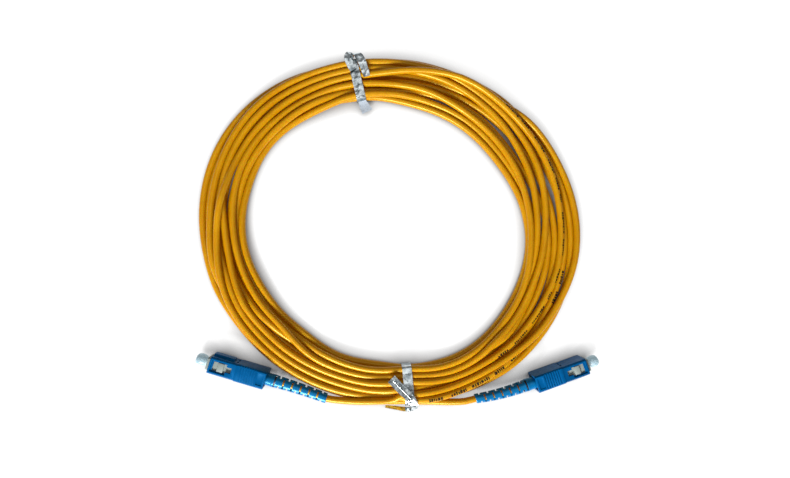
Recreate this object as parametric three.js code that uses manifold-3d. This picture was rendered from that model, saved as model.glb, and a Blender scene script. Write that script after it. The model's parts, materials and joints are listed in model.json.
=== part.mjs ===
// Fibre optic patch cord: a coiled 3 mm simplex cord with an SC plug on each end, held by two twist ties.
// Millimetres, +Z up. The cord lies on z = 0, and each plug stands on one of its narrow faces.
import * as THREE from "three";
import { mergeVertices } from "three/addons/utils/BufferGeometryUtils.js";
import Module from "manifold-3d";

const wasm = await Module();
wasm.setup();
const degrees = THREE.MathUtils.degToRad;

// ---- driving dimensions ----
const CORD_R = 1.5; // a 3.0 mm jacket
const CORD_SIDES = 8;
const GAP = 0.3; // between pieces that would touch
const ROUND = 16; // sides of a round piece
const BIG = 20; // past every wall of a plug

// The coil is an oval ring, wider on the right, where its turns spread out.
const COIL = {
  x: -4.3,
  y: 0.05,
  radius: 72.1, // mean radius of the turns
  oval: 3.5, // added on the long axis, and taken off on the short one
  longAxis: degrees(-23),
  halfWidth: 9.6,
  spread: 3.6, // extra half width at spreadAt
  spreadAt: degrees(10),
  spreadOver: degrees(38),
  height: 7.6,
  segments: 80,
  sectionPoints: 14,
};

// A tie is a foil ribbon with a wire core, which pinches the coil where it wraps it.
const RIBBON = { width: 4.2, thick: 0.35, wireR: 0.25 };
const TIE_TOP = degrees(103.5);
const TIE_BOTTOM = degrees(-84.3);
const PINCH = { halfWidth: 0.4, height: 0.8, over: degrees(14) };
const TIE_LIFT = RIBBON.thick + GAP; // the coil's underside passes this high over a ribbon

// A plug along its own +x, towards the nose, with x = 0 at the housing's rear face.
const HOUSING = { length: 25, sizeY: 7.4, sizeZ: 9, bevel: 0.6, boreY: 6, boreZ: 7.4 };
const GRIP = { length: 13.2, proud: 0.15 }; // the finger grip stands proud all round
const AXIS_Z = HOUSING.sizeZ / 2 + GRIP.proud; // height of a plug's axis
const WINDOW = { from: 17.4, to: 24.1, halfY: 2.6, stemFrom: 15.1, stemHalfY: 1.2 };
const SLOT = { from: 13.6, to: 14.2, innerZ: 0.5, outerZ: 2.4 };
const KEY = { from: 15.4, to: 24.6, sizeZ: 4, proud: 1, bevel: 0.4 };
const RIBS = { count: 7, from: 4.3, pitch: 1.12, width: 0.5, depth: 0.3 };
const LABEL = { from: 0.9, to: 3.4, halfY: 2.5, depth: 0.25 };
const FRAME = { from: 4.4, to: 26.3, sizeY: 5.6, sizeZ: 7, bevel: 0.5 };
const FRAME_BORE = { chamberR: 2.35, wallFrom: 15.4, wallTo: 16.6, wallR: 1.85, mouthR: 2.4 };
const CATCH = { from: 18.6, to: 21.2, halfY: 1.9, proud: 0.65 };
const FERRULE = { from: 17.3, to: 27.8, r: 1.25, tipR: 0.85, chamfer: 0.4 };
const SPRING = { from: 7.7, to: 12.9, r: 1.55, wireR: 0.25, turns: 5.5, stepsPerTurn: 9, sides: 5 };
const CORD_START = -1.9; // where the jacket ends, behind the post
const FIBRE = { from: -1.6, to: 15.4, r: 0.45 };
const CRIMP_SLEEVE = { from: -1.2, to: 3.9, innerR: 1.85, outerR: 2.1 };
const JACKET_RING = { from: -5.6, to: -1.9, innerR: 1.62, outerR: 1.9 };
const YARN = { from: -1.4, to: 4.3, innerR: 1.6, outerR: 1.74 }; // spread round the post under the sleeve
const BOOT = {
  from: 4,
  to: -28,
  r: 2.75,
  taperFrom: -3,
  tailR: 2.1,
  bore: 2.3,
  boreTo: -6.4,
  cordBore: 1.65,
  stations: 7, // rings of points along the narrow bore, so that it can bend
};
const BOOT_SLOTS = {
  count: 6,
  from: -3.6,
  pitch: 3.95,
  width: 0.8,
  near: 1.25, // a pair of long slots, opposite each other, stops this far from the axis
  crossNear: 1.9, // between them a pair of short slots, a quarter turn round, stops this far from it
  tilt: degrees(72),
};

// Each plug: the middle of its rear face, its nose's heading, how far its boot's tail bends to its +y side,
// and the side that the boot's slots turn to.
const PLUGS = {
  a: { x: -60.55, y: -65.6, heading: degrees(162.5), bend: 0.9, slotSide: -1 },
  b: { x: 60.68, y: -69.45, heading: degrees(18.5), bend: 2.1, slotSide: 1 },
};

// The uncoiled cord from each boot to the coil, as the points that its middle passes.
const LEADS = {
  a: [
    [-27.5, -75.9, 4.7],
    [-20, -76.5, 4.7],
    [-12, -76.6, 4.7],
    [-4.3, -76.2, 4.7],
  ],
  b: [
    [28.7, -77.6, 4.1],
    [21.2, -78.1, 3],
    [14.2, -78.05, 2],
    [8.7, -77.95, 1.6],
  ],
};

// ---- materials ----
function finish(color, roughness, metalness = 0) {
  return new THREE.MeshStandardMaterial({ color, roughness, metalness });
}
const jacketYellow = finish(0xe3a008, 0.45);
const housingBlue = finish(0x0f63ad, 0.35);
const bootBlue = finish(0x0c6fc4, 0.5);
const frameIvory = finish(0xd9d4c2, 0.5);
const capClear = finish(0xe4eef0, 0.3);
const zirconia = finish(0xf4f2ec, 0.15);
const nickel = finish(0xb9bcc0, 0.3, 1);
const springSteel = finish(0x9aa0a6, 0.35, 1);
const bufferWhite = finish(0xeeeeea, 0.5);
const yarnYellow = finish(0xd8c25a, 0.9);
const foil = finish(0xc9ced3, 0.2, 1);
const wireSteel = finish(0x8a8f94, 0.35, 1);

// ---- solids ----
function toSolid(geometry) {
  const bare = geometry.clone();
  bare.deleteAttribute("normal");
  bare.deleteAttribute("uv");
  const merged = mergeVertices(bare, 1e-4);
  const vertProperties = merged.attributes.position.array;
  const triVerts = new Uint32Array(merged.index.array);
  return new wasm.Manifold(new wasm.Mesh({ numProp: 3, vertProperties, triVerts }));
}

function toGeometry(solid) {
  const mesh = solid.getMesh();
  const geometry = new THREE.BufferGeometry();
  geometry.setAttribute("position", new THREE.BufferAttribute(mesh.vertProperties, 3));
  geometry.setIndex(new THREE.BufferAttribute(mesh.triVerts, 1));
  geometry.computeVertexNormals();
  return geometry;
}

// One solid with others joined to it, and then others cut out of it.
function shaped(base, added, removed) {
  const joined = added.reduce((solid, piece) => solid.add(toSolid(piece)), toSolid(base));
  return toGeometry(removed.reduce((solid, piece) => solid.subtract(toSolid(piece)), joined));
}

// A box given by its limits.
function box(x0, x1, y0, y1, z0, z1) {
  const geometry = new THREE.BoxGeometry(x1 - x0, y1 - y0, z1 - z0);
  return geometry.translate((x0 + x1) / 2, (y0 + y1) / 2, (z0 + z1) / 2);
}

function polygon(points) {
  return new THREE.Shape(points.map(([u, v]) => new THREE.Vector2(u, v)));
}

// A bar along x with bevelled long edges.
function bevelledBar(x0, x1, sizeY, sizeZ, bevel) {
  const [y, z] = [sizeY / 2, sizeZ / 2];
  const [by, bz] = [y - bevel, z - bevel];
  const outline = polygon([[-by, -z], [by, -z], [y, -bz], [y, bz], [by, z], [-by, z], [-y, bz], [-y, -bz]]);
  const bar = new THREE.ExtrudeGeometry(outline, { depth: x1 - x0, bevelEnabled: false });
  const [xAxis, yAxis, zAxis] = [0, 1, 2].map((i) => new THREE.Vector3().setComponent(i, 1));
  // The outline's own axes become y and z, and its depth becomes x.
  return bar.applyMatrix4(new THREE.Matrix4().makeBasis(yAxis, zAxis, xAxis)).translate(x0, 0, 0);
}

// A round solid about the x axis. Its outline is a list of [x, radius] that runs from its rear inner edge
// round the outside to its front inner edge; one that doesn't start on the axis is closed here.
function turned(outline, sides = ROUND) {
  const walked = outline[0][1] === 0 ? outline : [...outline, outline[0]];
  const points = walked.map(([x, r]) => new THREE.Vector2(r, x));
  return new THREE.LatheGeometry(points, sides).rotateZ(-Math.PI / 2);
}

// A plain tube about the x axis, or a rod where innerR is 0.
function sleeve(x0, x1, innerR, outerR, sides = ROUND) {
  return turned([[x0, innerR], [x0, outerR], [x1, outerR], [x1, innerR]], sides);
}

function tubeAlong(curve, radius, steps, sides) {
  const section = Array.from({ length: sides }, (_, i) => {
    const angle = (2 * Math.PI * i) / sides;
    return [radius * Math.cos(angle), radius * Math.sin(angle)];
  });
  return new THREE.ExtrudeGeometry(polygon(section), { extrudePath: curve, steps, bevelEnabled: false });
}

function smoothCurve(points) {
  return new THREE.CatmullRomCurve3(points.map((p) => new THREE.Vector3(...p)), false, "centripetal");
}

// ---- the plug's pieces ----
function outerHousing() {
  const top = HOUSING.sizeZ / 2;
  const gripTop = top + GRIP.proud;
  const body = bevelledBar(0, HOUSING.length, HOUSING.sizeY, HOUSING.sizeZ, HOUSING.bevel);
  const [gripY, gripZ] = [HOUSING.sizeY + 2 * GRIP.proud, HOUSING.sizeZ + 2 * GRIP.proud];
  const grip = bevelledBar(0, GRIP.length, gripY, gripZ, HOUSING.bevel);
  const key = bevelledBar(KEY.from, KEY.to, 2 * KEY.proud, KEY.sizeZ, KEY.bevel);
  key.translate(0, -HOUSING.sizeY / 2, 0);
  const cuts = [
    box(-BIG, 2 * BIG, -HOUSING.boreY / 2, HOUSING.boreY / 2, -HOUSING.boreZ / 2, HOUSING.boreZ / 2),
  ];
  for (const side of [1, -1]) {
    const faceCut = (x0, x1, halfY, depth) =>
      side > 0 ? box(x0, x1, -halfY, halfY, depth, BIG) : box(x0, x1, -halfY, halfY, -BIG, -depth);
    cuts.push(faceCut(WINDOW.from, WINDOW.to, WINDOW.halfY, 0));
    cuts.push(faceCut(WINDOW.stemFrom, WINDOW.from + 1, WINDOW.stemHalfY, 0));
    cuts.push(faceCut(LABEL.from, LABEL.to, LABEL.halfY, gripTop - LABEL.depth));
    for (let i = 0; i < RIBS.count; i++) {
      const x = RIBS.from + i * RIBS.pitch;
      cuts.push(faceCut(x, x + RIBS.width, BIG, gripTop - RIBS.depth));
    }
    const [low, high] = side > 0 ? [SLOT.innerZ, SLOT.outerZ] : [-SLOT.outerZ, -SLOT.innerZ];
    cuts.push(box(SLOT.from, SLOT.to, -BIG, BIG, low, high));
  }
  return shaped(body, [grip, key], cuts);
}

function plugFrame() {
  const top = FRAME.sizeZ / 2;
  const body = bevelledBar(FRAME.from, FRAME.to, FRAME.sizeY, FRAME.sizeZ, FRAME.bevel);
  const catches = [-1, 1].map((side) => {
    const [z0, z1] = [top - CATCH.proud, top + CATCH.proud].map((z) => side * z);
    return box(CATCH.from, CATCH.to, -CATCH.halfY, CATCH.halfY, Math.min(z0, z1), Math.max(z0, z1));
  });
  const { chamberR, wallFrom, wallTo, wallR, mouthR } = FRAME_BORE;
  const bore = turned([
    [-BIG, 0],
    [-BIG, chamberR],
    [wallFrom, chamberR],
    [wallFrom, wallR],
    [wallTo, wallR],
    [wallTo, mouthR],
    [2 * BIG, mouthR],
    [2 * BIG, 0],
  ]);
  return shaped(body, catches, [bore]);
}

function ferrule() {
  const { from, to, r, tipR, chamfer } = FERRULE;
  return turned([[from, 0], [from, r], [to - chamfer, r], [to, tipR], [to, 0]]);
}

function ferruleFlange() {
  return turned([
    [9, 0.6],
    [9, 0.9],
    [13.4, 0.9],
    [13.4, 2.15],
    [15.2, 2.15],
    [15.2, 1.7],
    [19.5, 1.7],
    [19.5, 1.35],
    [17.2, 1.35],
    [17.2, 0.6],
  ]);
}

function spring() {
  const count = Math.round(SPRING.turns * SPRING.stepsPerTurn);
  const points = Array.from({ length: count + 1 }, (_, i) => {
    const angle = (2 * Math.PI * i) / SPRING.stepsPerTurn;
    const x = SPRING.from + ((SPRING.to - SPRING.from) * i) / count;
    return [x, SPRING.r * Math.cos(angle), SPRING.r * Math.sin(angle)];
  });
  return tubeAlong(smoothCurve(points), SPRING.wireR, count, SPRING.sides);
}

function stopRing() {
  return turned([[-1.5, 1.1], [-1.5, 1.5], [4.7, 1.5], [4.7, 2.2], [7.1, 2.2], [7.1, 1.1]]);
}

function dustCap() {
  return turned(
    [
      [28.3, 0],
      [28.3, 1.35],
      [20.6, 1.35],
      [20.6, 2.05],
      [26.8, 2.05],
      [27, 2.55],
      [29.6, 2.65],
      [30.9, 2.4],
      [31.7, 1.5],
      [31.9, 0],
    ],
    20,
  );
}

// How far a point x of the boot, or of the cord in it, is bent to the plug's +y side.
function bootBend(x, bend) {
  const along = Math.max(0, (BOOT.boreTo - x) / (BOOT.boreTo - BOOT.to));
  return bend * along ** 2;
}

function boot({ bend, slotSide }) {
  const outer = [];
  const inner = [];
  for (let i = 0; i <= BOOT.stations; i++) {
    const part = i / BOOT.stations;
    outer.push([BOOT.to + (BOOT.taperFrom - BOOT.to) * part, BOOT.tailR + (BOOT.r - BOOT.tailR) * part]);
    inner.push([BOOT.boreTo + (BOOT.to - BOOT.boreTo) * part, BOOT.cordBore]);
  }
  const front = [[BOOT.from, BOOT.r], [BOOT.from, BOOT.bore], [BOOT.boreTo, BOOT.bore]];
  const body = turned([...outer, ...front, ...inner]);
  const cuts = [];
  const slotPair = (x, near, angle) => {
    for (const [y0, y1] of [[near, BIG], [-BIG, -near]]) {
      cuts.push(box(x - BOOT_SLOTS.width, x, y0, y1, -BIG, BIG).rotateX(slotSide * angle));
    }
  };
  for (let i = 0; i < BOOT_SLOTS.count; i++) {
    const x = BOOT_SLOTS.from - i * BOOT_SLOTS.pitch;
    slotPair(x, BOOT_SLOTS.near, BOOT_SLOTS.tilt);
    slotPair(x - BOOT_SLOTS.pitch / 2, BOOT_SLOTS.crossNear, BOOT_SLOTS.tilt - degrees(90));
  }
  const geometry = shaped(body, [], cuts);
  const position = geometry.attributes.position;
  for (let i = 0; i < position.count; i++) {
    position.setY(i, position.getY(i) + bootBend(position.getX(i), bend));
  }
  return geometry;
}

// ---- the cord ----
// A place on a plug's axis, bent as its boot is, in the cord's own frame.
function plugPoint(plug, x) {
  const local = new THREE.Vector3(x, bootBend(x, plug.bend), 0);
  local.applyAxisAngle(new THREE.Vector3(0, 0, 1), plug.heading);
  return [local.x + plug.x, local.y + plug.y, AXIS_Z];
}

function leadCurve(plug, route) {
  const inBoot = [CORD_START];
  for (let i = 0; i <= 4; i++) inBoot.push(BOOT.boreTo + ((BOOT.to - BOOT.boreTo) * i) / 4);
  return smoothCurve([...inBoot.map((x) => plugPoint(plug, x)), ...route]);
}

function lead(plug, route) {
  return tubeAlong(leadCurve(plug, route), CORD_R, 18, CORD_SIDES);
}

// The room that a lead's laid-in end needs in the coil.
function leadNotch(plug, route) {
  const curve = leadCurve(plug, route);
  const end = curve.getPointAt(1).addScaledVector(curve.getTangentAt(1), GAP);
  return tubeAlong(smoothCurve([...route, end.toArray()]), CORD_R + GAP, 12, CORD_SIDES);
}

// ---- the coil ----
// 1 at an angle, falling smoothly to 0 on both sides of it.
function bump(angle, at, over) {
  const away = Math.atan2(Math.sin(angle - at), Math.cos(angle - at));
  return Math.exp(-((away / over) ** 2));
}

function coilAt(angle) {
  const pinch = bump(angle, TIE_TOP, PINCH.over) + bump(angle, TIE_BOTTOM, PINCH.over);
  const spread = bump(angle, COIL.spreadAt, COIL.spreadOver);
  return {
    radius: COIL.radius + COIL.oval * Math.cos(2 * (angle - COIL.longAxis)),
    halfWidth: COIL.halfWidth + COIL.spread * spread - PINCH.halfWidth * pinch,
    height: COIL.height - PINCH.height * pinch,
    lift: TIE_LIFT * pinch,
  };
}

// A rounded oblong, as a list of [u, v] about the middle of its base.
function oblong(halfWidth, height, base) {
  const soft = (value) => Math.sign(value) * Math.abs(value) ** (2 / 3);
  return Array.from({ length: COIL.sectionPoints }, (_, i) => {
    const angle = (2 * Math.PI * (i + 0.5)) / COIL.sectionPoints;
    return [halfWidth * soft(Math.cos(angle)), base + (height * (1 + soft(Math.sin(angle)))) / 2];
  });
}

function coil() {
  const section = oblong(1, 1, 0).map(([u, v]) => new THREE.Vector2(COIL.radius + u, v));
  const ring = new THREE.LatheGeometry([...section, section[0]], COIL.segments).rotateX(Math.PI / 2);
  const position = ring.attributes.position;
  for (let i = 0; i < position.count; i++) {
    const [x, y, v] = [position.getX(i), position.getY(i), position.getZ(i)];
    const angle = Math.atan2(y, x);
    const here = coilAt(angle);
    const radius = here.radius + (Math.hypot(x, y) - COIL.radius) * here.halfWidth;
    position.setXYZ(i, radius * Math.cos(angle), radius * Math.sin(angle), here.lift + v * here.height);
  }
  const notches = Object.entries(PLUGS).map(([side, plug]) => leadNotch(plug, LEADS[side]));
  return shaped(ring.translate(COIL.x, COIL.y, 0), [], notches);
}

// ---- the ties ----
// Each is made in its own frame: +x outwards from the coil, +y along the cord, origin under the coil's middle.
function tieSizes(angle) {
  const { halfWidth, height, lift } = coilAt(angle);
  return { outer: halfWidth + GAP, top: lift + height + GAP + RIBBON.thick };
}

function wrap(angle) {
  const { halfWidth, height } = coilAt(angle);
  const both = 2 * (GAP + RIBBON.thick);
  const outline = polygon(oblong(halfWidth + GAP + RIBBON.thick, height + both, 0));
  outline.holes.push(polygon(oblong(halfWidth + GAP, height + 2 * GAP, RIBBON.thick)));
  const loop = new THREE.ExtrudeGeometry(outline, { depth: RIBBON.width, bevelEnabled: false });
  // The outline stands in x and z, and its depth runs along y.
  return loop.rotateX(Math.PI / 2).translate(0, RIBBON.width / 2, 0);
}

// A flat end of ribbon along +x from the origin, split down the middle, where its wire lies.
function flap(length) {
  const half = RIBBON.width / 2;
  const groove = RIBBON.wireR + GAP;
  return [
    box(-1, 1, -half, half, 0, RIBBON.thick),
    box(0, length, groove, half, 0, RIBBON.thick),
    box(0, length, -half, -groove, 0, RIBBON.thick),
  ];
}

function wire(length) {
  return sleeve(1 + GAP, length - GAP, 0, RIBBON.wireR, 6).translate(0, 0, RIBBON.thick / 2);
}

const PEAK = 1.3; // how far a tie's twisted ends stand out past its wrap
const FLAP_TOP = { x: 8.6, y: -4.3, turn: degrees(180), length: 11.5 };
const FLAP_BOTTOM = { x: 4.6, y: 0.4, turn: degrees(221), length: 12.5 };

function onTop(geometry, place, angle) {
  return geometry.rotateZ(place.turn).translate(place.x, place.y, tieSizes(angle).top + GAP);
}

function tieTopRibbon() {
  const { outer, top } = tieSizes(TIE_TOP);
  const half = RIBBON.width / 2;
  const lid = top + GAP + RIBBON.thick;
  const foldedEnd = box(outer, outer + PEAK, FLAP_TOP.y - half, half, 3, lid);
  const overTop = box(FLAP_TOP.x - 1, outer + PEAK, FLAP_TOP.y - half, FLAP_TOP.y + half, top + GAP, lid);
  const tail = box(-outer - 5.4, -outer - RIBBON.thick / 4, -half, half, 2.2, 2.2 + RIBBON.thick);
  const laid = flap(FLAP_TOP.length).map((piece) => onTop(piece, FLAP_TOP, TIE_TOP));
  return shaped(wrap(TIE_TOP), [foldedEnd, overTop, tail, ...laid], []);
}

function tieBottomRibbon() {
  const { outer, top } = tieSizes(TIE_BOTTOM);
  const half = RIBBON.width / 2;
  const twist = box(outer, outer + PEAK, -half, half, 1, top - 1);
  const crossing = box(4.2, 6.6, -half, half, top - RIBBON.thick, top + GAP + RIBBON.thick);
  const shortTail = box(outer + 0.5, outer + 0.5 + RIBBON.thick, -10.5, 0, 1, 2.8);
  const laid = flap(FLAP_BOTTOM.length).map((piece) => onTop(piece, FLAP_BOTTOM, TIE_BOTTOM));
  return shaped(wrap(TIE_BOTTOM), [twist, crossing, shortTail, ...laid], []);
}

// ---- assembly ----
function named(name, geometry, material) {
  const mesh = new THREE.Mesh(geometry, material);
  mesh.name = name;
  return mesh;
}

const ring = ({ from, to, innerR, outerR }) => sleeve(from, to, innerR, outerR);

function plugGroup(side, plug) {
  const pieces = [
    named("outer_housing", outerHousing(), housingBlue),
    named("plug_frame", plugFrame(), frameIvory),
    named("ferrule", ferrule(), zirconia),
    named("ferrule_flange", ferruleFlange(), nickel),
    named("spring", spring(), springSteel),
    named("stop_ring", stopRing(), nickel),
    named("crimp_sleeve", ring(CRIMP_SLEEVE), nickel),
    named("jacket_ring", ring(JACKET_RING), nickel),
    named("aramid_yarn", ring(YARN), yarnYellow),
    named("buffered_fibre", sleeve(FIBRE.from, FIBRE.to, 0, FIBRE.r, 8), bufferWhite),
    named("boot", boot(plug), bootBlue),
    named("dust_cap", dustCap(), capClear),
  ];
  const group = new THREE.Group();
  for (const piece of pieces) {
    piece.name += "_" + side;
    group.add(piece);
  }
  group.position.set(plug.x, plug.y, AXIS_Z);
  group.rotation.z = plug.heading;
  return group;
}

function tieGroup(angle, pieces) {
  const group = new THREE.Group().add(...pieces);
  const { radius } = coilAt(angle);
  group.position.set(COIL.x + radius * Math.cos(angle), COIL.y + radius * Math.sin(angle), 0);
  group.rotation.z = angle;
  return group;
}

const patchCord = new THREE.Group();
for (const [side, plug] of Object.entries(PLUGS)) {
  patchCord.add(plugGroup(side, plug));
  patchCord.add(named("cord_lead_" + side, lead(plug, LEADS[side]), jacketYellow));
}
patchCord.add(named("cord_coil", coil(), jacketYellow));
patchCord.add(
  tieGroup(TIE_TOP, [
    named("tie_top_ribbon", tieTopRibbon(), foil),
    named("tie_top_wire", onTop(wire(FLAP_TOP.length), FLAP_TOP, TIE_TOP), wireSteel),
  ]),
);
patchCord.add(
  tieGroup(TIE_BOTTOM, [
    named("tie_bottom_ribbon", tieBottomRibbon(), foil),
    named("tie_bottom_wire", onTop(wire(FLAP_BOTTOM.length), FLAP_BOTTOM, TIE_BOTTOM), wireSteel),
  ]),
);

export default patchCord;
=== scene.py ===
"""Looks of the fibre optic patch cord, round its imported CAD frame. Metres, +Z up, on the plane z = 0."""
import json
import math

import bmesh
import bpy
import numpy as np
from mathutils import Matrix, Vector
from mathutils.geometry import convex_hull_2d
from mathutils.noise import noise as noise_at


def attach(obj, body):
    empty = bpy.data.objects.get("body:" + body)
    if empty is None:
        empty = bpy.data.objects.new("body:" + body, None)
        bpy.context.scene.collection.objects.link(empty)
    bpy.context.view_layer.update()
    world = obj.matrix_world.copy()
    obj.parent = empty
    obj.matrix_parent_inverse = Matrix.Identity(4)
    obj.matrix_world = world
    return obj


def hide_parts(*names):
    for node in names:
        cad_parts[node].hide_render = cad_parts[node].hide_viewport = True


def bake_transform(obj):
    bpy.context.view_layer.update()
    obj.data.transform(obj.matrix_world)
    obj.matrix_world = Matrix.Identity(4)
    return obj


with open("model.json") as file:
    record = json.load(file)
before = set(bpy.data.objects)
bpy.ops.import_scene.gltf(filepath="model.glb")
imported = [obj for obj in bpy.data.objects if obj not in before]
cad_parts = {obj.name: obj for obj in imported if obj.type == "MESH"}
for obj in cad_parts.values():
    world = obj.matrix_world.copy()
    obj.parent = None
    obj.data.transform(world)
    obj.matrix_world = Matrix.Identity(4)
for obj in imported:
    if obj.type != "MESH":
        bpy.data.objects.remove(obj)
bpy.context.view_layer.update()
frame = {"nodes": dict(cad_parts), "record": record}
MM = 0.001
TAU = 2 * math.pi


def deg(value):
    return math.radians(value)


# ---- sizes ----
CORD_R = 1.5 * MM
AXIS_Z = 4.65 * MM  # height of a plug's axis
NOSE_X = 25 * MM  # from a plug's rear face to its nose mount
BOOT_BEND = {"a": 0.9 * MM, "b": 2.1 * MM}  # how far a boot's tail bends to its plug's +y side
BOOT_SIDE = {"a": -1, "b": 1}  # the side that its slots turn to
BOOT = {"tail": -28 * MM, "bend_from": -6.4 * MM}
BOOT_SLOTS = {
    "count": 6, "from": -3.6 * MM, "pitch": 3.95 * MM, "width": 0.8 * MM,
    "near": 1.25 * MM,  # how far from the axis the long slots stop
    "cross_near": 1.9 * MM,  # and the short ones between them, a quarter turn round
    "tilt": deg(72),
}
SPRING = {"from": 7.7 * MM, "to": 12.9 * MM, "r": 1.55 * MM, "wire_r": 0.25 * MM, "turns": 5.5}
CORD_START = -1.9 * MM  # where the jacket ends inside a plug

# The uncoiled cord beyond each boot, as in part.mjs.
LEAD_A = [
    (-0.0275, -0.0759, 0.0047), (-0.02, -0.0765, 0.0047),
    (-0.012, -0.0766, 0.0047), (-0.0043, -0.0762, 0.0047),
]
LEAD_B = [
    (0.0087, -0.07795, 0.0016), (0.0142, -0.07805, 0.002),
    (0.0212, -0.0781, 0.003), (0.0287, -0.0776, 0.0041),
]

# The coil's middle line is an oval. Ties pinch it at two angles.
COIL_X, COIL_Y = -4.3 * MM, 0.05 * MM
COIL_R, COIL_OVAL, COIL_LONG_AXIS = 72.1 * MM, 3.5 * MM, deg(-23)
TIE_TOP, TIE_BOTTOM = deg(103.5), deg(-84.3)
TIE_HALF, TIE_HEIGHT, TIE_LIFT = 9.1 * MM, 6.6 * MM, 0.65 * MM

# Where each turn of the coil lies at twelve places round it, as (column, layer). Columns are half a cord wide
# and counted outwards from the coil's middle line. Layer 0 lies on the table.
COLUMN = 1.5 * MM
LAYER = 2.7 * MM
SECTIONS = [-60, -30, 0, 30, 60, 90, 120, 150, 180, 210, 240, 262]
TURNS = [
    [(2.3, 1.2), (4.9, 1), (7.8, 0.8), (8.2, 0.6), (5, 0.1), (4.2, 0),
     (4.2, 0), (5.8, 0), (5.3, 0), (2.6, 0), (2, 0), (1, 0)],
    [(3, 0), (1.5, 0), (1.4, 0), (1, 0), (1.2, 0), (0.2, 0),
     (0, 0), (1.8, 0), (1.4, 0), (-0.6, 0.9), (-2, 0.1), (-3, 0)],
    [(-3, 0), (-3, 0), (-4.5, 0), (-5.6, 0), (-4.1, 0.1), (-4.6, 0.8),
     (-5.5, 0.7), (-4, 0.3), (-4.2, 0.8), (-4.6, 0.5), (-4.3, 0.2), (-5, 0)],
    [(-5, 0), (-7, 0), (-7, 0), (-7.5, 0), (-6.2, 0), (-5.6, 0),
     (-4, 0), (-1.5, 0), (-0.8, 0), (-1, 0), (0, 0), (-1, 0)],
    [(-1, 0), (-5, 0.1), (-4.9, 0.9), (-0.8, 1), (2.8, 1), (3.9, 1),
     (3.3, 1), (3.4, 1), (0.5, 0.9), (1.3, 1), (0.9, 1), (0.5, 1)],
    [(-0.1, 1), (0.8, 1), (2.9, 1), (5, 1.4), (5.6, 2), (2.6, 2),
     (1, 1), (0.9, 1), (2.4, 1.4), (5.2, 1.2), (5.6, 1), (4.2, 0.9)],
    [(4.6, 0.9), (3.8, 0.2), (4.6, 0.3), (4.2, 0.1), (3.1, 0), (2.2, 0),
     (2, 0), (3.8, 0), (3.4, 0.2), (3.3, 0.9), (2.9, 1), (2.4, 1)],
    [(1, 0), (-1.1, 0), (-0.8, 0), (-2.7, 0), (-0.8, 0), (-2.9, 0.3),
     (-3.4, 1), (-3.1, 1), (-2.9, 0.2), (-3.4, 0), (-2.9, 0.6), (-3.4, 1)],
    [(-4.2, 1), (-6.6, 1), (-6.7, 1), (-4.7, 1), (-2.4, 1), (-1.2, 1),
     (-1.2, 1), (-1.2, 1), (-2.4, 1), (-2.6, 1), (-1.2, 1), (-1.4, 1)],
    [(-2.2, 1), (-4.4, 1), (-2.4, 1), (2.3, 1), (4.7, 1), (5.6, 1),
     (5.6, 1), (5.4, 1), (4.6, 0.9), (4.6, 0), (4, 0), (3, 0)],
    [(5, 0), (6.4, 0.1), (6.6, 0), (6.5, 0), (7, 0), (6.2, 0),
     (6.4, 0), (8, 0), (7.1, 0), (6.5, 0), (6, 0), (5, 0)],
]
STEPS = 120  # points in each turn

# How the turns settle onto and against each other, round after round.
ROUNDS = 1200
STIFFNESS = 0.28
HOLD = 0.012  # the pull back to the chart in the first round, which fades later
SINK = 0.003 * MM
PUSH = 0.42  # the share of an overlap that each of two turns is moved by
RISE = 1.15  # turns climb over each other a little more than they spread
TIE_REACH = deg(5)  # how far round the coil a tie pulls the turns together
TOUCH = 2.007 * CORD_R  # how far apart the middles of two turns come to rest
TALLEST = 2.2  # layers

TIE_WIDTH = 4.2 * MM
RIBBON_ROWS = 8
POINT_GAP = 2.6 * MM  # between the points of the finished cord
PRINT = [  # turn, from and to which angle, and how far the print leans outwards from the top
    (5, -8, 47, deg(42)), (5, -50, -12, deg(40)), (6, -78, -40, deg(10)), (6, -24, -15, deg(25)),
]


# ---- materials ----
def shader(name, base, roughness, **extra):
    """A new node material, its tree and its Principled shader. Extra sets sockets by name."""
    material = bpy.data.materials.new(name)
    material.use_nodes = True
    tree = material.node_tree
    principled = next(n for n in tree.nodes if n.type == "BSDF_PRINCIPLED")
    principled.inputs["Base Color"].default_value = (*base, 1)
    principled.inputs["Roughness"].default_value = roughness
    for key, value in extra.items():
        principled.inputs[key.replace("_", " ")].default_value = value
    return material, tree, principled


def add(tree, kind, inputs=(), **settings):
    """A new node, with values or other nodes' outputs on its sockets."""
    node = tree.nodes.new(kind)
    for key, value in settings.items():
        setattr(node, key, value)
    for key, value in dict(inputs).items():
        if isinstance(value, bpy.types.NodeSocket):
            tree.links.new(value, node.inputs[key])
        else:
            node.inputs[key].default_value = value
    return node


def noise(tree, scale, detail, stretch=(1, 1, 1)):
    """Noise in the object's own space. Scale is in blotches to a metre."""
    coord = add(tree, "ShaderNodeTexCoord").outputs["Object"]
    mapped = add(tree, "ShaderNodeMapping", {"Vector": coord, "Scale": stretch}).outputs["Vector"]
    sockets = {"Vector": mapped, "Scale": scale, "Detail": detail}
    return add(tree, "ShaderNodeTexNoise", sockets).outputs["Fac"]


def ramp(tree, fac, stops):
    """A colour that follows fac through (position, colour) stops."""
    node = add(tree, "ShaderNodeValToRGB", {"Fac": fac})
    elements = node.color_ramp.elements
    while len(elements) < len(stops):
        elements.new(0.5)
    for element, (at, color) in zip(elements, stops):
        element.position = at
        element.color = (*color, 1)
    return node.outputs["Color"]


def spread(tree, fac, low, high):
    """A value between low and high, as fac goes from 0.3 to 0.7."""
    limits = {"Value": fac, "From Min": 0.3, "From Max": 0.7, "To Min": low, "To Max": high}
    return add(tree, "ShaderNodeMapRange", limits).outputs["Result"]


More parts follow.
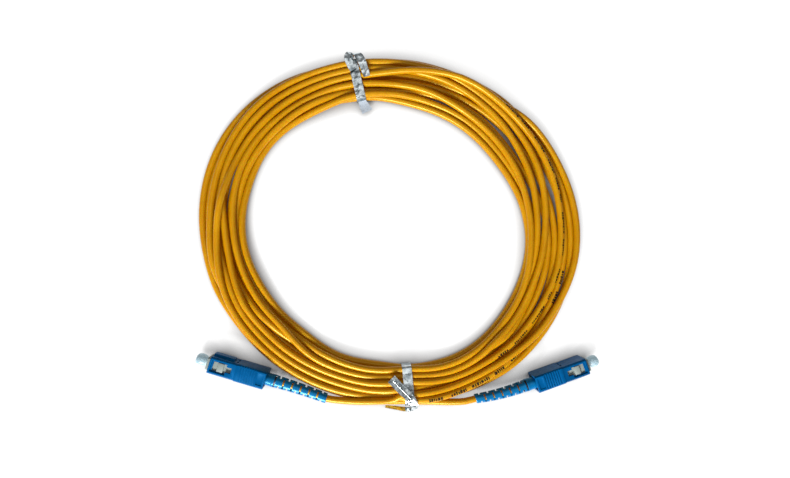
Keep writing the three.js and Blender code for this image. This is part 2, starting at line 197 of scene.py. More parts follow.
def bump(tree, principled, height, strength, distance):
    """Relief on a shader's normal. Distance is its depth."""
    sockets = {"Height": height, "Strength": strength, "Distance": distance}
    tree.links.new(add(tree, "ShaderNodeBump", sockets).outputs["Normal"], principled.inputs["Normal"])


def moulded(name, base, roughness, mottle=0.06, grain=2200, **extra):
    """Moulded plastic or rubber: slightly uneven colour, a fine grain, and gloss that varies."""
    material, tree, principled = shader(name, base, roughness, **extra)
    cloud = noise(tree, 260, 4)
    dark = tuple(c * (1 - 2 * mottle) for c in base)
    light = tuple(min(1, c * (1 + mottle)) for c in base)
    tree.links.new(ramp(tree, cloud, [(0.3, dark), (0.7, light)]), principled.inputs["Base Color"])
    gloss = spread(tree, noise(tree, 700, 3), roughness * 0.85, roughness * 1.2)
    tree.links.new(gloss, principled.inputs["Roughness"])
    bump(tree, principled, noise(tree, grain, 2), 0.12, 0.00004)
    return material


def jacket():
    """Extruded PVC: warm yellow with slow changes of tone, uneven gloss and a fine grain."""
    material, tree, principled = shader("jacket", (0.34, 0.166, 0.0), 0.3, Specular_IOR_Level=0.5)
    principled.inputs["Specular Tint"].default_value = (1.0, 0.95, 0.25, 1)
    principled.inputs["Emission Color"].default_value = (1.0, 0.12, 0.0, 1)
    principled.inputs["Emission Strength"].default_value = 0.035  # for the light that bounces between turns
    tone = ramp(tree, noise(tree, 90, 4), [(0.3, (0.33, 0.15, 0.0)), (0.7, (0.38, 0.182, 0.001))])
    tree.links.new(tone, principled.inputs["Base Color"])
    tree.links.new(spread(tree, noise(tree, 600, 3), 0.26, 0.4), principled.inputs["Roughness"])
    principled.inputs["Subsurface Weight"].default_value = 0.3
    principled.inputs["Subsurface Radius"].default_value = (0.003, 0.0007, 0.0001)
    principled.inputs["Subsurface Scale"].default_value = 1.0
    bump(tree, principled, noise(tree, 1500, 3), 0.06, 0.00004)
    return material


def foil():
    """Crumpled metallised film: cells with creased edges, in patches of lighter and darker tone."""
    material, tree, principled = shader("foil", (0.5, 0.54, 0.56), 0.2, Metallic=1.0)
    coord = add(tree, "ShaderNodeTexCoord").outputs["Object"]
    cells = add(tree, "ShaderNodeTexVoronoi", {"Vector": coord, "Scale": 500.0}, feature="DISTANCE_TO_EDGE")
    tone = ramp(tree, noise(tree, 380, 3), [(0.35, (0.24, 0.28, 0.30)), (0.65, (0.66, 0.72, 0.74))])
    tree.links.new(tone, principled.inputs["Base Color"])
    tree.links.new(spread(tree, noise(tree, 900, 3), 0.1, 0.34), principled.inputs["Roughness"])
    bump(tree, principled, cells.outputs["Distance"], 0.35, 0.0003)
    return material


def metal(name, base, roughness):
    """Plated or drawn metal with a fine grain and slightly uneven tone."""
    material, tree, principled = shader(name, base, roughness, Metallic=1.0)
    grain = noise(tree, 1800, 3)
    tree.links.new(spread(tree, grain, roughness * 0.7, roughness * 1.4), principled.inputs["Roughness"])
    tone = ramp(tree, noise(tree, 500, 3), [(0.3, tuple(c * 0.88 for c in base)), (0.7, base)])
    tree.links.new(tone, principled.inputs["Base Color"])
    bump(tree, principled, grain, 0.1, 0.00003)
    return material


def translucent_cap():
    """Soft milky plastic that light passes into."""
    material, tree, principled = shader("cap_clear", (0.2, 0.27, 0.3), 0.28, IOR=1.45)
    principled.inputs["Emission Color"].default_value = (0.65, 0.9, 1.0, 1)
    principled.inputs["Emission Strength"].default_value = 0.2  # for the light that comes through it
    principled.inputs["Subsurface Weight"].default_value = 0.85
    principled.inputs["Subsurface Radius"].default_value = (0.003, 0.0032, 0.0034)
    principled.inputs["Subsurface Scale"].default_value = 1.0
    tone = ramp(tree, noise(tree, 420, 3), [(0.3, (0.185, 0.25, 0.28)), (0.7, (0.215, 0.285, 0.32))])
    tree.links.new(tone, principled.inputs["Base Color"])
    tree.links.new(spread(tree, noise(tree, 700, 3), 0.22, 0.4), principled.inputs["Roughness"])
    bump(tree, principled, noise(tree, 1400, 2), 0.15, 0.00005)
    return material


def ink():
    """Black print, worn thin in places."""
    material, tree, principled = shader("print_ink", (0.012, 0.006, 0.002), 0.6, Specular_IOR_Level=0.1)
    tone = ramp(tree, noise(tree, 2600, 2), [(0.35, (0.006, 0.003, 0.001)), (0.7, (0.04, 0.016, 0.003))])
    tree.links.new(tone, principled.inputs["Base Color"])
    return material


def yarn():
    """Aramid strands, with streaks along the fibres."""
    material, tree, principled = shader("aramid", (0.70, 0.55, 0.14), 0.7, Sheen_Weight=0.3)
    fibres = noise(tree, 5200, 2, stretch=(0.15, 1, 1))
    tone = ramp(tree, fibres, [(0.3, (0.5, 0.36, 0.07)), (0.7, (0.82, 0.68, 0.25))])
    tree.links.new(tone, principled.inputs["Base Color"])
    bump(tree, principled, fibres, 0.4, 0.0001)
    return material


JACKET = jacket()
FOIL = foil()
INK = ink()
CAP = translucent_cap()
HOUSING_BLUE = moulded(
    "housing_blue", (0.0, 0.062, 0.19), 0.4, Specular_IOR_Level=0.2, Specular_Tint=(0.1, 0.7, 1.0, 1),
)
BOOT_BLUE = moulded(
    "boot_blue", (0.0, 0.095, 0.25), 0.3, mottle=0.05, grain=1600, Specular_IOR_Level=0.6,
    Specular_Tint=(0.2, 0.75, 1.0, 1),
)
IVORY = moulded("frame_ivory", (0.2, 0.23, 0.215), 0.5, Specular_IOR_Level=0.2)
CERAMIC = moulded("zirconia", (0.88, 0.87, 0.83), 0.12, mottle=0.01, grain=3000)
NICKEL = metal("nickel", (0.72, 0.70, 0.66), 0.25)
# A near-black metal: painted shade for the crimp sleeve and jacket ring, which show only deep inside the
# boots' slots
SHADE_DARK_METAL = metal("shade_dark_steel", (0.07, 0.07, 0.08), 0.5)
STEEL = metal("spring_steel", (0.60, 0.60, 0.62), 0.28)
BUFFER = moulded("buffer_white", (0.85, 0.85, 0.82), 0.45)
YARN = yarn()
FILM = moulded("tie_film", (0.38, 0.43, 0.49), 0.3, Transmission_Weight=0.2)


# ---- mesh helpers ----
def new_object(name, vertices, faces, material, smooth=True):
    """A mesh object with its faces turned outwards."""
    mesh = bpy.data.meshes.new(name)
    mesh.from_pydata([tuple(v) for v in vertices], [], faces)
    mesh.validate()
    made = bmesh.new()
    made.from_mesh(mesh)
    bmesh.ops.recalc_face_normals(made, faces=made.faces)
    made.to_mesh(mesh)
    made.free()
    if smooth:
        mesh.shade_smooth()
    mesh.materials.append(material)
    obj = bpy.data.objects.new(name, mesh)
    bpy.context.scene.collection.objects.link(obj)
    return obj


def apply_modifiers(obj):
    """Replaces the object's mesh with what its modifiers make of it."""
    depsgraph = bpy.context.evaluated_depsgraph_get()
    mesh = bpy.data.meshes.new_from_object(obj.evaluated_get(depsgraph))
    obj.modifiers.clear()
    obj.data = mesh
    return obj


def tube(name, centres, r, sides, material):
    """A closed tube along points. Its section turns as little as it can from point to point."""
    centres = np.asarray(centres, float)
    tangents = np.gradient(centres, axis=0)
    tangents /= np.linalg.norm(tangents, axis=1)[:, None]
    side = np.cross(tangents[0], (0, 0, 1.0))
    rings = []
    for centre, tangent in zip(centres, tangents):
        side = side - tangent * (side @ tangent)
        side /= np.linalg.norm(side)
        up = np.cross(side, tangent)
        turn = np.arange(sides) * TAU / sides
        rings.append(centre + r * (np.cos(turn)[:, None] * side + np.sin(turn)[:, None] * up))
    vertices = np.concatenate(rings)
    faces = []
    for i in range(len(centres) - 1):
        for j in range(sides):
            k = (j + 1) % sides
            faces.append((i * sides + j, i * sides + k, (i + 1) * sides + k, (i + 1) * sides + j))
    faces.append(tuple(range(sides)))
    faces.append(tuple(range(len(vertices) - sides, len(vertices))))
    return new_object(name, vertices, faces, material)


def lathe(name, outline, material, sides):
    """A solid about the x axis. The outline is a list of (x, radius), closed onto itself."""
    vertices, faces = [], []
    for x, r in outline:
        for i in range(sides):
            vertices.append((x, r * math.cos(TAU * i / sides), r * math.sin(TAU * i / sides)))
    count = len(outline)
    for j in range(count):
        k = (j + 1) % count
        for i in range(sides):
            n = (i + 1) % sides
            faces.append((j * sides + i, j * sides + n, k * sides + n, k * sides + i))
    obj = new_object(name, vertices, faces, material)
    made = bmesh.new()
    made.from_mesh(obj.data)
    bmesh.ops.remove_doubles(made, verts=made.verts, dist=1e-7)
    bmesh.ops.recalc_face_normals(made, faces=made.faces)
    made.to_mesh(obj.data)
    made.free()
    return obj


def rounded(outline, radius, steps):
    """The outline with each corner (x, r) cut back by radius and rounded; corners on the axis stay."""
    made = []
    count = len(outline)
    for i, (x, r) in enumerate(outline):
        here = Vector((x, r))
        before, after = Vector(outline[i - 1]), Vector(outline[(i + 1) % count])
        if r < 1e-6:
            made.append((x, r))
            continue
        cut = min(radius, (before - here).length * 0.45, (after - here).length * 0.45)
        start = here + (before - here).normalized() * cut
        end = here + (after - here).normalized() * cut
        for k in range(steps + 1):
            t = k / steps
            made.append(tuple((1 - t) ** 2 * start + 2 * t * (1 - t) * here + t * t * end))
    return made


def mm(outline):
    """An outline in mm, in metres."""
    return [(x * MM, r * MM) for x, r in outline]


# ---- the camera ----
def make_camera():
    """It is close above the coil and looks almost straight down."""
    data = bpy.data.cameras.new("camera")
    data.lens, data.sensor_width = 21.1, 36.0
    camera = bpy.data.objects.new("camera", data)
    camera.location = (-16.2 * MM, -7.7 * MM, 215 * MM)
    camera.rotation_euler = (deg(1.16), deg(-3.5), 0)
    bpy.context.scene.collection.objects.link(camera)
    bpy.context.scene.camera = camera


make_camera()


# ---- the cord ----
def plug_place(side):
    """The matrix from a plug's own axes (x to its nose, from its rear face) to the row frame."""
    mount = next(m for m in frame["record"]["mounts"] if m["name"] == "nose_" + side)
    axis = Vector(mount["axis"])
    origin = Vector(mount["pos_m"]) - axis * NOSE_X
    origin.z = AXIS_Z
    return Matrix.Translation(origin) @ Matrix.Rotation(math.atan2(axis.y, axis.x), 4, "Z")


PLACES = {side: plug_place(side) for side in "ab"}


def boot_bend(x, side):
    """How far a boot is bent to its plug's +y side, at x."""
    along = max(0.0, (BOOT["bend_from"] - x) / (BOOT["bend_from"] - BOOT["tail"]))
    return BOOT_BEND[side] * along ** 2


def coil_radius(angle):
    """The radius of the coil's middle line."""
    return COIL_R + COIL_OVAL * np.cos(2 * (angle - COIL_LONG_AXIS))


def near(angle, at, over):
    """1 at an angle, falling smoothly to 0 on both sides of it."""
    away = np.arctan2(np.sin(angle - at), np.cos(angle - at))
    return np.exp(-((away / over) ** 2))


def eased(keys, values, at):
    """A smooth curve through values given at keys, flat where they turn back."""
    keys, values = np.array(keys, float), np.array(values, float)
    slope = np.diff(values) / np.diff(keys)
    tangent = np.concatenate([slope[:1], (slope[1:] + slope[:-1]) / 2, slope[-1:]])
    tangent[1:-1][slope[1:] * slope[:-1] <= 0] = 0
    i = np.clip(np.searchsorted(keys, at) - 1, 0, len(slope) - 1)
    span = keys[i + 1] - keys[i]
    t = (at - keys[i]) / span
    from_values = (2 * t**3 - 3 * t**2 + 1) * values[i] + (3 * t**2 - 2 * t**3) * values[i + 1]
    return from_values + (t**3 - 2 * t**2 + t) * span * tangent[i] + (t**3 - t**2) * span * tangent[i + 1]


def polar(point):
    """(angle, radius) of a point about the coil's middle."""
    x, y = point[0] - COIL_X, point[1] - COIL_Y
    return math.atan2(y, x), math.hypot(x, y)


def push_apart(r, z):
    """How far each point moves in r and z so that turns that overlap in its section come apart."""
    lanes = math.ceil(len(r) / STEPS)
    spare = lanes * STEPS - len(r)
    rows = [np.pad(v, (0, spare), constant_values=9.0).reshape(lanes, STEPS) for v in (r, z)]
    dr, dz = [v[:, None] - v[None] for v in rows]
    apart = np.sqrt(dr**2 + dz**2) + 1e-12
    overlap = np.clip(TOUCH - apart, 0, None)
    overlap[range(lanes), range(lanes)] = 0
    push = PUSH * overlap / apart
    return [(push * d).sum(1).reshape(-1)[: len(r)] for d in (dr, dz)]


def wind():
    """The coil's points: the chart's route, settled until its turns lie against each other on the table."""
    (start, start_r), (end, end_r) = polar(LEAD_A[-1]), polar(LEAD_B[0])
    end += TAU * len(TURNS)
    start_z, end_z = LEAD_A[-1][2], LEAD_B[0][2]
    keys = [start]
    columns = [(start_r - coil_radius(start)) / COLUMN]
    layers = [(start_z - CORD_R) / LAYER]
    for turn, row in enumerate(TURNS):
        for section, (column, layer) in zip(SECTIONS, row):
            keys.append(deg(section) + TAU * turn)
            columns.append(column)
            layers.append(layer)
    keys.append(end)
    columns.append((end_r - coil_radius(end)) / COLUMN)
    layers.append((end_z - CORD_R) / LAYER)
    angle = start + np.arange(round((end - start) / TAU * STEPS) + 1) * TAU / STEPS
    wanted_r = coil_radius(angle) + COLUMN * eased(keys, columns, angle)
    wanted_z = CORD_R + LAYER * np.clip(eased(keys, layers, angle), 0, TALLEST)
    r, z = wanted_r.copy(), wanted_z.copy()
    tie = np.clip(sum(near(angle, at, TIE_REACH) for at in (TIE_TOP, TIE_BOTTOM)), 0, 1)
    middle, half = coil_radius(angle), TIE_HALF - CORD_R
    for i in range(ROUNDS):
        hold = HOLD * (1.1 - i / ROUNDS)
        for v in (r, z):
            v[2:-2] += STIFFNESS * ((v[1:-3] + v[3:-1]) * 2 / 3 - (v[:-4] + v[4:]) / 6 - v[2:-2])
        r += hold * (wanted_r - r)
        z += hold * (wanted_z - z) - SINK
        move_r, move_z = push_apart(r, z)
        r += move_r
        z += RISE * move_z
        beyond = np.clip(r - middle - half, 0, None) + np.clip(r - middle + half, None, 0)
        r -= 0.5 * beyond * tie
        z -= 0.5 * np.clip(z - TIE_LIFT - TIE_HEIGHT + CORD_R, 0, None) * tie
        z = np.maximum(z, CORD_R + TIE_LIFT * tie)
        r[0], z[0], r[-1], z[-1] = start_r, start_z, end_r, end_z
    return np.stack([COIL_X + r * np.cos(angle), COIL_Y + r * np.sin(angle), z], 1)


def through(points, per_span):
    """A smooth line (centripetal Catmull-Rom) through points, with per_span steps between each two."""
    points = [Vector(p) for p in points]
    points = [2 * points[0] - points[1], *points, 2 * points[-1] - points[-2]]
    made = []
    for p0, p1, p2, p3 in zip(points, points[1:], points[2:], points[3:]):
        t1 = (p1 - p0).length ** 0.5
        t2 = t1 + (p2 - p1).length ** 0.5
        t3 = t2 + (p3 - p2).length ** 0.5
        for k in range(per_span):
            t = t1 + (t2 - t1) * k / per_span
            a1 = p0 * ((t1 - t) / t1) + p1 * (t / t1)
            a2 = p1 * ((t2 - t) / (t2 - t1)) + p2 * ((t - t1) / (t2 - t1))
            a3 = p2 * ((t3 - t) / (t3 - t2)) + p3 * ((t - t2) / (t3 - t2))
            b1 = a1 * ((t2 - t) / t2) + a2 * (t / t2)
            b2 = a2 * ((t3 - t) / (t3 - t1)) + a3 * ((t - t1) / (t3 - t1))
            made.append(b1 * ((t2 - t) / (t2 - t1)) + b2 * ((t - t1) / (t2 - t1)))
    made.append(points[-2])
    return [tuple(p) for p in made]


def in_boot(side):
    """Points of the cord inside a boot, from its end in the plug to the boot's tail."""
    along = [CORD_START] + [BOOT["bend_from"] + (BOOT["tail"] - BOOT["bend_from"]) * i / 4 for i in range(5)]
    return [tuple(PLACES[side] @ Vector((x, boot_bend(x, side), 0))) for x in along]


def spaced(points, gap):
    """The same line with its points gap apart."""
    points = np.asarray(points)
    run = np.concatenate([[0], np.cumsum(np.linalg.norm(np.diff(points, axis=0), axis=1))])
    at = np.linspace(0, run[-1], round(run[-1] / gap) + 1)
    return np.stack([np.interp(at, run, points[:, i]) for i in range(3)], 1)


def cord_route(coil):
    """The whole cord: out of boot a, round the coil and into boot b."""
    start = through(in_boot("a") + LEAD_A[:-1] + [tuple(p) for p in coil[:3]], 8)[:-8]
    end = through([tuple(p) for p in coil[-3:]] + LEAD_B[1:] + in_boot("b")[::-1], 8)[8:]
    return spaced(np.concatenate([start, coil[2:-2], end]), POINT_GAP)


coil = wind()
route = cord_route(coil)
cord = tube("cord", route, CORD_R, 20, JACKET)
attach(cord, "cord")
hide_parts("cord_coil", "cord_lead_a", "cord_lead_b")


# ---- the plugs ----
def settle_piece(obj, side, body, node):
    """Puts a piece made in a plug's own axes in place, and ties it to the frame."""
    obj.data.transform(PLACES[side])
    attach(obj, body)
    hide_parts(node)
    return obj


def refined(node, name, bevel, material):
    """A CAD node's shape with its flat faces joined up and its edges rounded."""
    obj = bpy.data.objects.new(name, frame["nodes"][node].data.copy())
    bpy.context.scene.collection.objects.link(obj)
    made = bmesh.new()
    made.from_mesh(obj.data)
    bmesh.ops.remove_doubles(made, verts=made.verts, dist=1e-6)
    bmesh.ops.dissolve_limit(made, angle_limit=deg(2), verts=made.verts, edges=made.edges)
    made.to_mesh(obj.data)
    made.free()
    obj.data.materials.clear()
    obj.data.materials.append(material)
    edges = obj.modifiers.new("edges", "BEVEL")
    edges.width, edges.segments, edges.limit_method, edges.angle_limit = bevel, 2, "ANGLE", deg(28)
    edges.use_clamp_overlap = True
    apply_modifiers(obj)
    obj.data.shade_smooth()
    return obj


# Plates of the housing's dark blue round each window of a housing, painted shade for the window's recess: x
# and y from and to, in mm.
WINDOW_SHADE_PLATES = [(23.3, 24.3, -2.7, 2.7), (17.6, 23.3, 2.0, 2.75), (17.6, 23.3, -2.75, -2.0)]


def housing(side):
    """The grip shell, with plates of its own dark blue round its windows as painted shade for their recesses.
    """
    node = "outer_housing_" + side
    obj = refined(node, "housing_shell_" + side, 0.14 * MM, HOUSING_BLUE)
    shade_plates = bmesh.new()
    shade_plates.from_mesh(obj.data)
    place = frame["nodes"][node].matrix_world.inverted() @ PLACES[side]
    # dark blue plates on both faces of the housing, painted shade in the windows' recesses
    for x0, x1, y0, y1 in WINDOW_SHADE_PLATES:
        for top in (1, -1):
            middle = Vector(((x0 + x1) / 2, (y0 + y1) / 2, top * 3.75)) * MM
            size = Matrix.Diagonal(((x1 - x0) * MM, (y1 - y0) * MM, 0.36 * MM, 1))
            bmesh.ops.create_cube(shade_plates, size=1, matrix=place @ Matrix.Translation(middle) @ size)
    shade_plates.to_mesh(obj.data)
    shade_plates.free()
    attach(obj, "housing_" + side)
    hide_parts(node)


def plug_frame(side):
    """The inner body, with its catches in the housing's windows."""
    node = "plug_frame_" + side
    obj = refined(node, "inner_frame_" + side, 0.12 * MM, IVORY)
    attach(obj, "cord")
    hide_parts(node)


def slot_pair(made, x, near, angle):
    """Adds two opposite cuts through a boot, each with a rounded end that stops near the axis."""
    width = BOOT_SLOTS["width"]
    end_r = width * 0.58
    far = 20 * MM
    turned = Matrix.Rotation(angle, 4, "X")
    for way in (1, -1):
        middle = turned @ Matrix.Translation((x - width / 2, way * (far + near) / 2, 0))
        bmesh.ops.create_cube(made, size=1, matrix=middle @ Matrix.Diagonal((width, far - near, far, 1)))
        end = turned @ Matrix.Translation((x - width / 2, way * near, 0))
        bmesh.ops.create_cone(
            made, cap_ends=True, segments=20, radius1=end_r, radius2=end_r, depth=far, matrix=end
        )


def boot_outline():
    """Half a boot's section: a taper outside, and a bore that narrows to the cord."""
    outside = [(4, 2.75), (-2.4, 2.75), (-3.2, 2.86), (-3.9, 2.75)]
    outside += [(x, 2.72 - 0.56 * (-x - 4) / 24) for x in range(-5, -28, -1)]
    outside += [(-28, 2.14)]
    bore = [(-28, 1.6)] + [(-x, 1.54) for x in range(27, 6, -1)] + [(-6.4, 2.3), (4, 2.3)]
    return rounded(mm(outside + bore), 0.16 * MM, 2)


def boot(side):
    """The strain relief: a tapered sleeve with crossing pairs of slots, bent to meet the cord."""
    obj = lathe("boot_rubber_" + side, boot_outline(), BOOT_BLUE, 56)
    cuts = bmesh.new()
    tilt, facing = BOOT_SLOTS["tilt"], BOOT_SIDE[side]
    for i in range(BOOT_SLOTS["count"]):
        x = BOOT_SLOTS["from"] - i * BOOT_SLOTS["pitch"]
        slot_pair(cuts, x, BOOT_SLOTS["near"], facing * tilt)
        slot_pair(cuts, x - BOOT_SLOTS["pitch"] / 2, BOOT_SLOTS["cross_near"], facing * (tilt - deg(90)))
    mesh = bpy.data.meshes.new("slots")
    cuts.to_mesh(mesh)
    cutter = bpy.data.objects.new("slots", mesh)
    bpy.context.scene.collection.objects.link(cutter)
    cut = obj.modifiers.new("slots", "BOOLEAN")
    cut.object, cut.operation, cut.solver, cut.use_self = cutter, "DIFFERENCE", "EXACT", True
    apply_modifiers(obj)
    bpy.data.objects.remove(cutter)
    for vertex in obj.data.vertices:
        vertex.co.y += boot_bend(vertex.co.x, side)
    obj.data.shade_smooth()
    obj.data.set_sharp_from_angle(angle=deg(38))
    return settle_piece(obj, side, "cord", "boot_" + side)


def dust_cap(side):
    """A soft clear cap over the ferrule: a thin collar inside the plug, then a domed head."""
    head = [(31.9, 0), (31.85, 1.3), (31.55, 2.0), (30.9, 2.45), (29.8, 2.66), (28.7, 2.6), (27.8, 2.3)]
    collar = [(27.2, 1.9), (26.6, 1.9), (26.4, 2.05), (20.6, 2.05)]
    bore = [(20.6, 1.34), (29.2, 1.3), (29.5, 1.0), (29.6, 0)]
    obj = lathe("cap_" + side, rounded(mm(head + collar + bore), 0.3 * MM, 3), CAP, 48)
    return settle_piece(obj, side, "cap_" + side, "dust_cap_" + side)


def ferrule(side):
    """The ceramic ferrule, with a chamfered tip."""
    outline = [(17.3, 0), (17.3, 1.25), (27.4, 1.25), (27.8, 0.85), (27.8, 0)]
    obj = lathe("ceramic_" + side, rounded(mm(outline), 0.08 * MM, 3), CERAMIC, 48)
    return settle_piece(obj, side, "ferrule_unit_" + side, "ferrule_" + side)


def spring(side):
    """A coil spring between the stop ring and the flange."""
    turn = np.linspace(0, SPRING["turns"] * TAU, round(SPRING["turns"] * 20))
    along = np.linspace(SPRING["from"], SPRING["to"], len(turn))
    points = np.stack([along, SPRING["r"] * np.cos(turn), SPRING["r"] * np.sin(turn)], 1)
    obj = tube("spring_wire_" + side, points, SPRING["wire_r"], 8, STEEL)
    obj.data.transform(PLACES[side])
    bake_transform(obj)
    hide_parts("spring_" + side)


for side in "ab":
    spring(side)
    housing(side)
    plug_frame(side)
    boot(side)
    dust_cap(side)
    ferrule(side)


# ---- the print on the jacket ----
def frame_at(index):
    """Point, outward side and up, at a fractional index of the coil's points."""
    i = int(index)
    t = index - i
    point = (1 - t) * coil[i] + t * coil[i + 1]
    along = coil[i + 1] - coil[i]
    along /= np.linalg.norm(along)
    out = np.cross(along, (0, 0, 1.0))
    out /= np.linalg.norm(out)
    return point, out, np.cross(out, along)


def mark(index, over, lean, tall):
    """A printed stroke on the cord: its corners, over a short run of the cord and tall round the jacket."""
    corners = []
    for j in range(2):
        point, out, up = frame_at(index + over * j)
        for k in range(4):
            turn = lean + (k / 3 - 0.5) * tall / CORD_R
            corners.append(point + 1.012 * CORD_R * (math.sin(turn) * out + math.cos(turn) * up))
    return corners


def print_marks():
    """Generic print: groups of short strokes along two turns of the coil, with no lettering."""
    chance = np.random.default_rng(4)
    vertices, faces = [], []
    start = polar(LEAD_A[-1])[0]
    for turn, first, last, lean in PRINT:
        at = (deg(first) + TAU * turn - start) / TAU * STEPS
        end = (deg(last) + TAU * turn - start) / TAU * STEPS
        while at < end:
            for _ in range(chance.integers(4, 9)):
                tall = chance.uniform(1.1, 1.75) * MM
                shift = lean + chance.uniform(-0.1, 0.1)
                over = chance.uniform(0.13, 0.3)
                base = len(vertices)
                vertices += mark(at, over, shift, tall)
                faces += [(base + k, base + k + 1, base + k + 5, base + k + 4) for k in range(3)]
                at += over + chance.uniform(0.05, 0.09)
            at += chance.uniform(0.4, 1.1)
    obj = new_object("print_marks", vertices, faces, INK)
    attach(obj, "cord")
    return obj


# ---- the twist ties ----
def tie_frame(at):
    """From a tie's own axes (x out from the coil's middle line, y round the coil, z up) to the row frame."""
    radius = float(coil_radius(at))
    place = Matrix.Translation((COIL_X + radius * math.cos(at), COIL_Y + radius * math.sin(at), 0))
    return place @ Matrix.Rotation(at, 4, "Z")


def tie_outline(place):
    """The line round the turns of cord within a tie, in its own x and z."""
    local = [place.inverted() @ Vector(p) for p in route]
    near_by = [p for p in local if abs(p.y) < 3.2 * MM and abs(p.x) < 16 * MM]
    reach = CORD_R + 0.16 * MM
    around = []
    for p in near_by:
        for k in range(24):
            turn = TAU * k / 24
            around.append(Vector((p.x + reach * math.cos(turn), p.z + reach * math.sin(turn))))
    hull = [around[i] for i in convex_hull_2d(around)]
    return [(p.x, max(p.y, 0.1 * MM)) for p in hull]


def ribbon(points, across, width, crumple, seed, steps=60):
    """A crumpled strip along points. Across, width and crumple each list values that it passes through."""
    line = np.array(through(points, max(2, steps // len(points))))
    along = np.gradient(line, axis=0)
    along /= np.linalg.norm(along, axis=1)[:, None]
    t = np.linspace(0, 1, len(line))
    keys = np.linspace(0, 1, len(across))
    side = np.stack([np.interp(t, keys, [a[i] for a in across]) for i in range(3)], 1)
    side -= along * (side * along).sum(1)[:, None]
    side /= np.linalg.norm(side, axis=1)[:, None]
    normal = np.cross(along, side)
    widths = np.interp(t, np.linspace(0, 1, len(width)), width)
    amounts = np.interp(t, np.linspace(0, 1, len(crumple)), crumple)
    vertices, faces = [], []
    for i in range(len(line)):
        for j in range(RIBBON_ROWS + 1):
            v = j / RIBBON_ROWS - 0.5
            point = line[i] + side[i] * widths[i] * v
            fold = abs(noise_at(Vector(point) * 300 + Vector((seed, 0, 0)))) - 0.25
            fine = noise_at(Vector(point) * 800 + Vector((0, seed, 0))) * 0.2
            vertices.append(point + normal[i] * (fold + fine) * amounts[i])
    for i in range(len(line) - 1):
        for j in range(RIBBON_ROWS):
            k = i * (RIBBON_ROWS + 1) + j
            faces.append((k, k + 1, k + RIBBON_ROWS + 2, k + RIBBON_ROWS + 1))
    return vertices, faces


def strips(name, place, parts, material, thick=0.06 * MM):
    """One object of several ribbons, given in a tie's own axes."""
    vertices, faces = [], []
    for part_vertices, part_faces in parts:
        base = len(vertices)
        vertices += [place @ Vector(v) for v in part_vertices]
        faces += [tuple(base + i for i in face) for face in part_faces]
    obj = new_object(name, vertices, faces, material)
    solid = obj.modifiers.new("thickness", "SOLIDIFY")
    solid.thickness, solid.offset = thick, 0
    apply_modifiers(obj)
    obj.data.set_sharp_from_angle(angle=deg(40))
    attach(obj, "cord")
    return obj


def ribbon_mm(points, across, width, crumple, seed):
    """A ribbon whose points, widths and crumpling are given in mm."""
    places = [Vector(p) * MM for p in points]
    return ribbon(places, across, [w * MM for w in width], [c * MM for c in crumple], seed)


def wire(name, place, points, r, material, node):
    """A tie's core along points in mm, in the tie's own axes."""
    line = [place @ Vector(p) for p in through([Vector(p) * MM for p in points], 6)]
    core = tube(name, line, r, 8, material)
    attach(core, "cord")
    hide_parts(node)
    return core


def wrapped(place, seed, crumple):
    """The ribbon drawn tight round the turns."""
    outline = tie_outline(place)
    loop = [(x, 0, z) for x, z in outline] + [(outline[0][0], 0, outline[0][1])]
    evened = spaced(loop, 0.3 * MM)
    return ribbon(evened, [(0, 1, 0)] * 2, [TIE_WIDTH] * 2, [crumple] * 2, seed, steps=2 * len(evened))


def top_tie():
    """Its two ends stand up in a peak on the outer side, and a flat tail of film shows inside the coil."""
    place = tie_frame(TIE_TOP)
    side = (0, 1, 0)
    wrap = wrapped(place, 3.0, 0.3 * MM)
    leg = ribbon_mm(
        [(9.4, 0.4, 4.5), (11.2, -0.8, 6.2), (10.2, -2.6, 8.0),
         (7, -3.9, 8.3), (3, -4.4, 8.1), (-0.6, -4.7, 8.0)],
        [(0, 0.6, 0.8), (0, 1, 0.3), side, side], [2.6, 3, 3.8, 3.4, 3], [0.3, 0.5, 0.4, 0.3], 8.0,
    )
    lobe = ribbon_mm(
        [(11.4, -0.9, 6.6), (11.1, 0.9, 8.1), (9.2, 2.0, 8.5), (6.6, 1.4, 8.3), (3.6, 0.4, 8.05)],
        [(1, 1, 0), (1, 1, 0.4), side, side], [1.2, 2.2, 2.8, 3.4, 3.6], [0.3, 0.6, 0.5, 0.2], 5.0,
    )
    foil_object = strips("tie_top_foil", place, [wrap, leg, lobe], FOIL)
    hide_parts("tie_top_ribbon")
    tail = ribbon_mm(
        [(-8.4, 0, 3.6), (-9.6, -0.3, 3.0), (-11.5, -0.8, 2.6), (-14.6, -1.6, 2.4)],
        [side, side, (0.1, 1, 0.15)], [3.6, 3.4, 4.4, 5.2], [0.15, 0.3], 6.0,
    )
    film = strips("tie_top_tail", place, [tail], FILM, 0.09 * MM)
    line = [(7, -3.9, 8.25), (3, -4.4, 8.1), (0, -4.7, 8.0)]
    core = wire("tie_top_core", place, line, 0.2 * MM, STEEL, "tie_top_wire")
    return [foil_object, film, core]


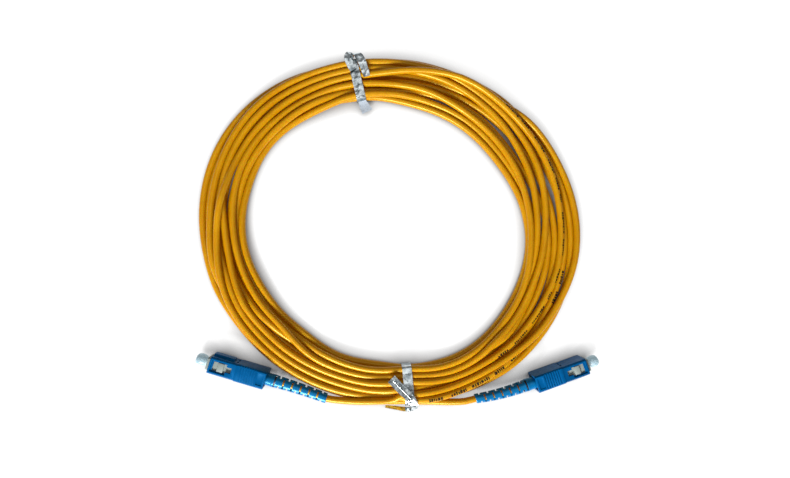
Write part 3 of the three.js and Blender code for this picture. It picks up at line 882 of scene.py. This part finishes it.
def bottom_tie():
    """Its knot is on the outer side, with a long tail across the turns and a short one beside the lead."""
    place = tie_frame(TIE_BOTTOM)
    side = (0, 1, 0)
    wrap = wrapped(place, 11.0, 0.25 * MM)
    tail_across = (-0.66, 0.75, 0)
    tail = ribbon_mm(
        [(8.2, 1.2, 7.4), (6.0, 0.9, 8.1), (3.2, -0.9, 8.3), (0, -3.6, 8.25), (-4.8, -7.4, 8.1)],
        [side, (-0.4, 0.9, 0.1), tail_across, tail_across], [3.4, 4, 4.2, 4.2], [0.5, 0.3, 0.08, 0.08], 2.0,
    )
    knot = ribbon_mm(
        [(6.5, 1.0, 8.0), (9.0, 1.4, 6.8), (10.6, 0.8, 4.4), (11.8, -0.3, 2.6)],
        [side, (0.1, 0.9, 0.5), (0, 0.8, 0.6)], [4, 3.8, 2.6, 1.4], [0.5, 0.6, 0.5], 7.0,
    )
    short_tail = ribbon_mm(
        [(11.4, 0.2, 2.8), (11.2, -2.4, 2.4), (10.4, -6, 1.9), (9.2, -11.2, 1.4)],
        [(0.5, 0, 0.86), (0.6, 0, 0.8), (0.7, 0, 0.7)], [2.2, 2.4, 2, 1.3], [0.3, 0.12], 9.0,
    )
    foil_object = strips("tie_bottom_foil", place, [wrap, tail, knot, short_tail], FOIL)
    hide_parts("tie_bottom_ribbon")
    line = [(5.0, 0.35, 8.4), (3.2, -0.9, 8.5), (0, -3.6, 8.45), (-4.6, -7.3, 8.25)]
    core = wire("tie_bottom_core", place, line, 0.24 * MM, FOIL, "tie_bottom_wire")
    return [foil_object, core]


tie_pieces = top_tie() + bottom_tie()
marks = print_marks()


# ---- floor and light ----
def make_floor():
    """A white floor that glows a little, apart from where the cord and plugs keep light from it."""
    half = 8
    corners = [(-half, -half, 0), (half, -half, 0), (half, half, 0), (-half, half, 0)]
    material, tree, principled = shader("floor", (0.2, 0.2, 0.2), 0.7, Specular_IOR_Level=0.1)
    principled.inputs["Emission Color"].default_value = (1, 1, 1, 1)
    shade = add(tree, "ShaderNodeAmbientOcclusion", {"Distance": 0.007}).outputs["AO"]
    glow = add(tree, "ShaderNodeMath", {0: shade, 1: 2.0}, operation="POWER").outputs["Value"]
    strength = add(tree, "ShaderNodeMath", {0: glow, 1: 0.95}, operation="MULTIPLY").outputs["Value"]
    tree.links.new(strength, principled.inputs["Emission Strength"])
    tone = ramp(tree, noise(tree, 3, 2), [(0.3, (0.19, 0.19, 0.19)), (0.7, (0.21, 0.21, 0.21))])
    tree.links.new(tone, principled.inputs["Base Color"])
    new_object("floor", corners, [(0, 1, 2, 3)], material, smooth=False)


def area_light(name, location, size, power):
    """A rectangular light that faces the coil's middle."""
    data = bpy.data.lights.new(name, "AREA")
    data.shape, data.size, data.size_y, data.energy = "RECTANGLE", size[0], size[1], power
    light = bpy.data.objects.new(name, data)
    light.location = location
    light.rotation_mode = "QUATERNION"
    light.rotation_quaternion = (-Vector(location)).to_track_quat("-Z", "Y")
    bpy.context.scene.collection.objects.link(light)


def make_light():
    """A low key from the front left, a weak light from above, and an even white surround."""
    area_light("key", (-0.2, -0.72, 0.46), (0.42, 0.2), 19.5)
    area_light("top", (0.1, 0.1, 0.9), (0.6, 0.6), 1.2)
    world = bpy.data.worlds.new("studio")
    world.use_nodes = True
    background = world.node_tree.nodes["Background"]
    background.inputs["Color"].default_value = (1, 1, 1, 1)
    background.inputs["Strength"].default_value = 0.27
    bpy.context.scene.world = world
    bpy.context.scene.view_settings.view_transform = "Standard"


make_floor()
make_light()


# Materials of the hidden CAD nodes; the crimp sleeve and jacket ring get the near-black metal as painted
# shade
NODE_FINISH_AND_SHADE = {
    "ferrule_flange": NICKEL, "stop_ring": NICKEL, "crimp_sleeve": SHADE_DARK_METAL,
    "jacket_ring": SHADE_DARK_METAL, "aramid_yarn": YARN, "buffered_fibre": BUFFER,
}
for side in "ab":
    for node, material in NODE_FINISH_AND_SHADE.items():
        node_object = frame["nodes"][f"{node}_{side}"]
        node_object.data.materials.clear()
        node_object.data.materials.append(material)
